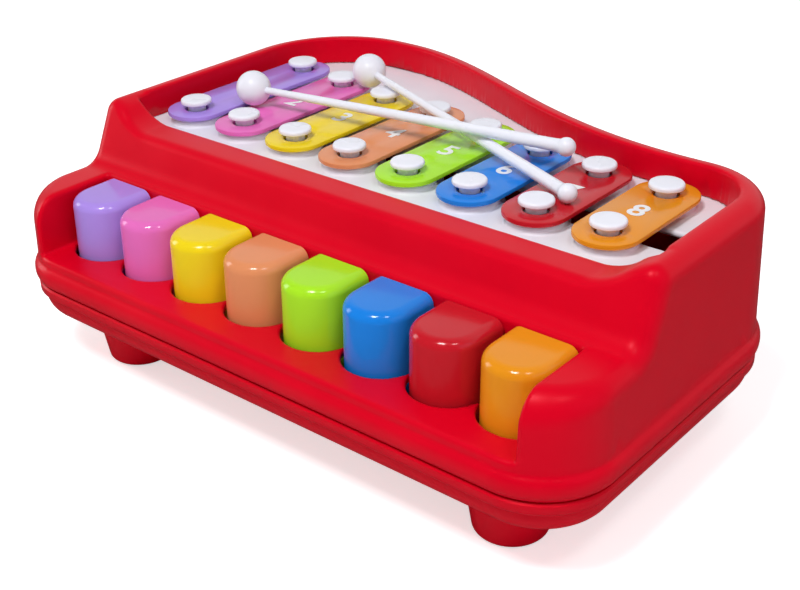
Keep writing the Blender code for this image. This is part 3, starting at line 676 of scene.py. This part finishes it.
def board_distance(x, y, z):
    plan = plan_field(x, y)
    edge = np.maximum(plan + recess_inset - BOARD_TUCK, recess_front_y - BOARD_TUCK - y)
    plate = np.maximum(edge, np.abs(z - plate_z + BOARD_THICK / 2) - BOARD_THICK / 2)
    near = (x - peg_x[0] + key_pitch / 2) % key_pitch - key_pitch / 2
    bar = np.clip(np.rint((x - peg_x[0]) / key_pitch), 0, KEYS - 1).astype(int)
    rear = np.array(rear_peg_y)[bar]
    away = np.minimum(np.hypot(near, y - front_peg_y), np.hypot(near, y - rear))
    away = np.where(np.abs(x - np.array(peg_x)[bar]) > key_pitch / 2, FAR, away)
    boss = both(away - BOSS_ROUND, np.abs(z - boss_top + BOSS_DROP) - BOSS_DROP, BOSS_EDGE)
    body = merged(plate, boss, BOSS_FILLET)
    across = np.abs(x + WINDOW_SHIFT) - WINDOW_HALF
    window = both(across, np.abs(y - window_y) - WINDOW_DEPTH / 2, WINDOW_CORNER)
    return without(body, window, WINDOW_EDGE)


BOARD_NET = 0.0008
BOARD_FACES_KEPT = 0.35
board = net_object("white_board", board_distance, board_low, board_high, BOARD_NET, board_plastic,
                   BOARD_FACES_KEPT)
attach(board, "toy")
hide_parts("sound_board")
print("board:", len(board.data.polygons), "faces")

# %% [markdown]
# A key is a hollow cap, square behind and half round in front, with a generous roll over its top edge. The
# lever behind it, the barrel on the axle and the hammer's socket are plain mouldings that stay out of sight.

# %% Keys
KEY_FILLET = 0.0035
KEY_WALL = 0.002
LEVER_WIDTH = 0.007
LEVER_HEIGHT = 0.005
BARREL_ROUND = 0.0037
BARREL_WIDTH = 0.012
LEVER_SHORT = 0.0035
SOCKET_ROUND = 0.0044


def key_outline(x, grow, rear):
    r = KEY_WIDTH / 2 + grow
    cy = wall_y - 2 * GAP - KEY_LENGTH + KEY_WIDTH / 2
    return arc(x, cy, r, 180, 360, 40) + [(x + r, rear), (x - r, rear)]


def key_groups(i):
    x = key_x[i]
    foot = key_boxes[i][0].z
    rear = wall_y - 2 * GAP
    outer = [(0.0, foot)]
    outer += [(KEY_FILLET * (1 - math.cos(a)), key_top - KEY_FILLET * (1 - math.sin(a)))
              for a in (math.radians(9 * k) for k in range(11))]
    rings = []
    for inset, z in outer:
        flare = KEY_FLARE * (key_top - z) / (key_top - foot)
        rings.append([(px, py, z) for px, py in key_outline(x, flare - inset, rear)])
    inner = [[(px, py, z) for px, py in key_outline(x, -KEY_WALL, rear - KEY_WALL)]
             for z in (key_top - KEY_WALL, foot)]
    cap = inner + rings
    lever_x = bar_x[i]
    hammer = middle(hammer_boxes[i])
    low, high = axle.z - LEVER_HEIGHT / 2, axle.z + LEVER_HEIGHT / 2
    lever = block(lever_x - LEVER_WIDTH / 2, lever_x + LEVER_WIDTH / 2,
                  rear - KEY_WALL / 2, hammer.y - LEVER_SHORT, low, high)
    barrel = [[(bx, axle.y + u, axle.z + v) for u, v in circle(0, 0, BARREL_ROUND, 32)]
              for bx in (lever_x - BARREL_WIDTH / 2, lever_x + BARREL_WIDTH / 2)]
    socket = turned(lever_x, hammer.y, [(SOCKET_ROUND, low), (SOCKET_ROUND, high)], 32)
    return [cap, lever, barrel, socket]


for i in range(KEYS):
    name = COLOURS[i]
    key = make_skins(name + "_key", key_groups(i), key_plastic[name])
    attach(key, "key_%d" % (i + 1))
    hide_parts("key_%d" % (i + 1))
print("keys:", KEYS)

# %% [markdown]
# A bar is a flat metal strip with round ends, painted after its two holes were punched. Its edges are only
# just broken. The outline and the two holes are three loops, and the top and the bottom are filled between
# them.

# %% Bars
BAR_EDGE = 0.0004
HOLE_ROUND = 0.0043


def bar_mesh(name, x, rear, material):
    bm = bmesh.new()
    levels = [(BAR_EDGE, bar_low), (0.0, bar_low + BAR_EDGE), (0.0, bar_top - BAR_EDGE),
              (BAR_EDGE * 0.3, bar_top - BAR_EDGE * 0.3), (BAR_EDGE, bar_top)]
    caps = {0: [], len(levels) - 1: []}
    loops = [lambda inset: arc(x, front_peg_y, bar_round - inset, 180, 360, 32)
             + arc(x, rear, bar_round - inset, 0, 180, 32)]
    loops += [lambda inset, y=y: circle(x, y, HOLE_ROUND + inset, 32) for y in (front_peg_y, rear)]
    for loop in loops:
        rings = [[bm.verts.new((px, py, z)) for px, py in loop(inset)] for inset, z in levels]
        for low, high in zip(rings, rings[1:]):
            for k in range(len(low)):
                n = (k + 1) % len(low)
                bm.faces.new((low[k], low[n], high[n], high[k]))
        for level in caps:
            ring = rings[level]
            caps[level] += [bm.edges.get((ring[k], ring[(k + 1) % len(ring)])) for k in range(len(ring))]
    for edges in caps.values():
        bmesh.ops.triangle_fill(bm, use_beauty=True, edges=edges)
    bmesh.ops.recalc_face_normals(bm, faces=bm.faces)
    data = bpy.data.meshes.new(name)
    bm.to_mesh(data)
    bm.free()
    data.materials.append(material)
    data.shade_smooth()
    data.set_sharp_from_angle(angle=math.radians(30))
    obj = bpy.data.objects.new(name, data)
    bpy.context.collection.objects.link(obj)
    return obj


for i in range(KEYS):
    name = COLOURS[i]
    bar = bar_mesh(name + "_bar", bar_x[i], rear_peg_y[i], bar_paint[name])
    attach(bar, "toy")
    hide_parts("bar_%d" % (i + 1))
print("bars:", KEYS)

# %% [markdown]
# Each bar carries its number in thin white paint, half way between its pegs, for following a tune. The
# numerals are text made into a mesh with the depth of a coat of paint, and laid on the bar's top.

# %% Numerals
NUMERAL_HEIGHT = 0.0085
HEIGHT_TO_FONT_SIZE = 1.4
NUMERAL_BOLD = 0.00025
PAINT = 0.00008
for i in range(KEYS):
    curve = bpy.data.curves.new("numeral", "FONT")
    curve.body = str(i + 1)
    curve.align_x = curve.align_y = "CENTER"
    curve.size = NUMERAL_HEIGHT * HEIGHT_TO_FONT_SIZE
    curve.extrude = PAINT / 2
    curve.offset = NUMERAL_BOLD
    text = bpy.data.objects.new("numeral", curve)
    bpy.context.collection.objects.link(text)
    data = bpy.data.meshes.new_from_object(text.evaluated_get(bpy.context.evaluated_depsgraph_get()))
    bpy.data.objects.remove(text)
    centre_y = (front_peg_y + rear_peg_y[i]) / 2
    data.transform(Matrix.Translation((bar_x[i], centre_y, bar_top + PAINT)))
    data.materials.clear()
    data.materials.append(numeral_paint)
    numeral = bpy.data.objects.new("numeral_%d" % (i + 1), data)
    bpy.context.collection.objects.link(numeral)
    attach(numeral, "toy")
print("numerals:", KEYS)

# %% [markdown]
# Sixteen pegs are the same turned shape: a flat head with a soft edge, and a shaft down to the board.
# Geometry Nodes puts one at every place, with a named input for its size, and the result is kept as one
# plain mesh.

# %% Pegs
peg_low, peg_high = peg_boxes[0]
peg_round = (peg_high.x - peg_low.x) / 2
PEG_HEAD = 0.0018
PEG_SHAFT = 0.0034
PEG_PIN = 0.002
HEAD_UNDER_EDGE = 0.0004
HEAD_TOP_EDGE = 0.0009
HEAD_MIDDLE = 0.0004


def scatter_tree(piece, material):
    tree = bpy.data.node_groups.new("pegs on places", "GeometryNodeTree")
    face = tree.interface
    face.new_socket("Geometry", in_out="INPUT", socket_type="NodeSocketGeometry")
    face.new_socket("Size", in_out="INPUT", socket_type="NodeSocketFloat")
    face.new_socket("Geometry", in_out="OUTPUT", socket_type="NodeSocketGeometry")
    enter = tree.nodes.new("NodeGroupInput")
    leave = tree.nodes.new("NodeGroupOutput")
    source = tree.nodes.new("GeometryNodeObjectInfo")
    source.inputs["Object"].default_value = piece
    spread = tree.nodes.new("GeometryNodeInstanceOnPoints")
    real = tree.nodes.new("GeometryNodeRealizeInstances")
    paint = tree.nodes.new("GeometryNodeSetMaterial")
    paint.inputs["Material"].default_value = material
    link = tree.links.new
    link(enter.outputs["Geometry"], spread.inputs["Points"])
    link(enter.outputs["Size"], spread.inputs["Scale"])
    link(source.outputs["Geometry"], spread.inputs["Instance"])
    link(spread.outputs["Instances"], real.inputs["Geometry"])
    link(real.outputs["Geometry"], paint.inputs["Geometry"])
    link(paint.outputs["Geometry"], leave.inputs["Geometry"])
    return tree


def scattered(name, piece, places, material):
    data = bpy.data.meshes.new(name)
    data.from_pydata(places, [], [])
    obj = bpy.data.objects.new(name, data)
    bpy.context.collection.objects.link(obj)
    tree = scatter_tree(piece, material)
    modifier = obj.modifiers.new("places", "NODES")
    modifier.node_group = tree
    size = next(item for item in tree.interface.items_tree if item.name == "Size")
    modifier[size.identifier] = 1.0
    data = bpy.data.meshes.new_from_object(obj.evaluated_get(bpy.context.evaluated_depsgraph_get()))
    obj.modifiers.clear()
    obj.data = data
    bpy.data.objects.remove(piece)
    data.shade_smooth()
    data.set_sharp_from_angle(angle=math.radians(40))
    return obj


under_head = peg_high.z - PEG_HEAD
peg_profile = [(PEG_PIN, peg_low.z), (PEG_PIN, boss_top + GAP / 3), (PEG_SHAFT, boss_top + 2 * GAP / 3),
               (PEG_SHAFT, under_head)]
peg_profile += edge_arc(peg_round - HEAD_UNDER_EDGE, under_head + HEAD_UNDER_EDGE, HEAD_UNDER_EDGE,
                        270, 360, 4)
peg_profile += edge_arc(peg_round - HEAD_TOP_EDGE, peg_high.z - HEAD_TOP_EDGE, HEAD_TOP_EDGE, 0, 80, 6)
peg_profile += [(peg_round / 2, peg_high.z), (HEAD_MIDDLE, peg_high.z)]
one_peg = make_skins("one_peg", [turned(0, 0, peg_profile, 48)], white_plastic)
peg_places = [(peg_x[i], y, 0) for i in range(KEYS) for y in (front_peg_y, rear_peg_y[i])]
pegs = scattered("white_pegs", one_peg, peg_places, white_plastic)
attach(pegs, "toy")
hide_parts(*["peg_%s_%d" % (row, i + 1) for row in ("front", "rear") for i in range(KEYS)])
print("pegs:", len(peg_places))

# %% [markdown]
# A mallet is a hard ball pushed on a thin moulded stick that thickens towards the hand and ends in a knob.
# The CAD mallets give their places: the ball's middle is its box's middle, and the stick runs on from there.

# %% Mallets
STICK_THIN = 0.00135
STICK_THICK = 0.0022
KNOB_ROUND = 0.0032
KNOB_END_ANGLE = math.radians(65)
STICK_IN_BALL = 0.55
NECK_SHARE = 0.8
NECK_LENGTH = 0.001
END_POINTS = 12
for label in ("lower", "upper"):
    ball_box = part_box("mallet_ball_" + label)
    ball = middle(ball_box)
    ball_round = (ball_box[1].z - ball_box[0].z) / 2
    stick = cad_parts["mallet_stick_" + label]
    points = np.array([v.co for v in stick.data.vertices])
    farthest = np.argsort(-np.linalg.norm(points - np.array(ball), axis=1))[:END_POINTS]
    end = Vector(points[farthest].mean(axis=0))
    along = (end - ball).normalized()
    length = (end - ball).length - KNOB_ROUND * math.sin(KNOB_END_ANGLE)
    place = Matrix.Translation(ball) @ along.to_track_quat("Z", "Y").to_matrix().to_4x4()
    neck = length - KNOB_ROUND * NECK_SHARE
    profile = [(STICK_THIN, -ball_round * STICK_IN_BALL), (STICK_THIN, ball_round),
               (STICK_THICK, neck - NECK_LENGTH)]
    profile += edge_arc(0, length, KNOB_ROUND, -42, 82, 16)
    rod = make_skins("white_stick_" + label, [turned(0, 0, profile, 40)], white_plastic)
    rod.data.transform(place)
    head = make_skins("white_ball_" + label, [turned(0, 0, edge_arc(0, 0, ball_round, -86, 86, 40), 64)],
                      white_plastic)
    head.data.transform(place)
    for piece, node in ((rod, "mallet_stick_"), (head, "mallet_ball_")):
        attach(piece, "mallet_" + label)
        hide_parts(node + label)
    print("mallet", label, "%.1f mm" % (1000 * length))

# %% [markdown]
# The hammers and the axle keep their CAD shapes, which are right, and get plastic and steel of their own.

# %% Finishes for the CAD pieces that stay
for name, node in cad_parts.items():
    material = steel if name == "key_axle" else white_plastic
    if name.startswith("hammer") or name == "key_axle":
        node.data.materials.clear()
        node.data.materials.append(material)
print("kept CAD pieces finished")

# %% [markdown]
# Two softboxes leave two small bright spots on the rounded edge of every key, a window stands on the left,
# and a weak cool light fills the right side. All are area lights that face the toy's middle.

# %% Lights
TOY_MIDDLE = (0, 0, 0.05)
COOL = (0.85, 0.7, 1.0)


def lamp(name, place, size, watts, tall=None):
    light = bpy.data.lights.new(name, "AREA")
    light.energy = watts
    light.shape = "RECTANGLE"
    light.size = size
    light.size_y = tall or size
    obj = bpy.data.objects.new(name, light)
    obj.location = place
    obj.rotation_mode = "QUATERNION"
    obj.rotation_quaternion = (Vector(TOY_MIDDLE) - Vector(place)).to_track_quat("-Z", "Y")
    bpy.context.collection.objects.link(obj)
    return light


lamp("front softbox", (0.09, -0.50, 0.88), 0.2, 5.0)
lamp("right softbox", (0.50, -0.28, 0.90), 0.16, 1.5)
lamp("left window", (-0.95, -0.30, 0.30), 0.25, 1.6, tall=0.5)
lamp("right fill", (0.9, -0.1, 0.45), 0.6, 0.7).color = COOL
print("lights:", len(bpy.data.lights))

# %% [markdown]
# The room is white to the camera. What shines in the plastic is a wall that is pale behind the toy and dark
# in front of it, as in a studio, so that the keys' tops gleam and their fronts keep their colour.

# %% Room
ROOM_FILL = 0.33
FRONT_WALL = 0.05
BACK_WALL = 0.7
WALL_TURNS = (-0.1, 0.6)
world = bpy.data.worlds.new("white room")
world.use_nodes = True
bpy.context.scene.world = world
nodes, links = world.node_tree.nodes, world.node_tree.links
surface = nodes["Background"]
surface.inputs["Color"].default_value = (1, 1, 1, 1)
rays = nodes.new("ShaderNodeLightPath")
way = nodes.new("ShaderNodeTexCoord")
split = nodes.new("ShaderNodeSeparateXYZ")
wall = nodes.new("ShaderNodeMapRange")
wall.inputs["From Min"].default_value = WALL_TURNS[0]
wall.inputs["From Max"].default_value = WALL_TURNS[1]
wall.inputs["To Min"].default_value = FRONT_WALL
wall.inputs["To Max"].default_value = BACK_WALL
mirrored = nodes.new("ShaderNodeMix")
mirrored.inputs["A"].default_value = ROOM_FILL
seen = nodes.new("ShaderNodeMath")
seen.operation = "MAXIMUM"
links.new(way.outputs["Generated"], split.inputs["Vector"])
links.new(split.outputs["Y"], wall.inputs["Value"])
links.new(rays.outputs["Is Glossy Ray"], mirrored.inputs["Factor"])
links.new(wall.outputs["Result"], mirrored.inputs["B"])
links.new(mirrored.outputs["Result"], seen.inputs[0])
links.new(rays.outputs["Is Camera Ray"], seen.inputs[1])
links.new(seen.outputs["Value"], surface.inputs["Strength"])

print("room fill:", ROOM_FILL)

# %% [markdown]
# The paper is lit like any surface, so it keeps the toy's shadow, and a little light of its own, seen by the
# camera alone, brings the rest of it to white.

# %% Paper
PAPER_GLOW = 0.6
PAPER_SEEN = 0.9
PAPER_MIRRORED = 0.1
PAPER_ROUGHNESS = 0.9
PAPER_HALF = 3
paper = bpy.data.materials.new("white paper")
paper.use_nodes = True
nodes, links = paper.node_tree.nodes, paper.node_tree.links
tone = nodes.new("ShaderNodeMapRange")
tone.inputs["To Min"].default_value = PAPER_SEEN
tone.inputs["To Max"].default_value = PAPER_MIRRORED
nodes["Principled BSDF"].inputs["Roughness"].default_value = PAPER_ROUGHNESS
nodes["Principled BSDF"].inputs["Emission Color"].default_value = (1, 1, 1, 1)
rays = nodes.new("ShaderNodeLightPath")
glow = nodes.new("ShaderNodeMath")
glow.operation = "MULTIPLY"
glow.inputs[1].default_value = PAPER_GLOW
links.new(rays.outputs["Is Camera Ray"], glow.inputs[0])
links.new(rays.outputs["Is Glossy Ray"], tone.inputs["Value"])
links.new(tone.outputs["Result"], nodes["Principled BSDF"].inputs["Base Color"])
links.new(glow.outputs["Value"], nodes["Principled BSDF"].inputs["Emission Strength"])
floor_data = bpy.data.meshes.new("floor")
corners = [(-PAPER_HALF, -PAPER_HALF, 0), (PAPER_HALF, -PAPER_HALF, 0),
           (PAPER_HALF, PAPER_HALF, 0), (-PAPER_HALF, PAPER_HALF, 0)]
floor_data.from_pydata(corners, [], [(0, 1, 2, 3)])
floor_data.materials.append(paper)
floor = bpy.data.objects.new("floor", floor_data)
bpy.context.collection.objects.link(floor)
bpy.context.scene.view_settings.view_transform = "Standard"
print("paper laid")
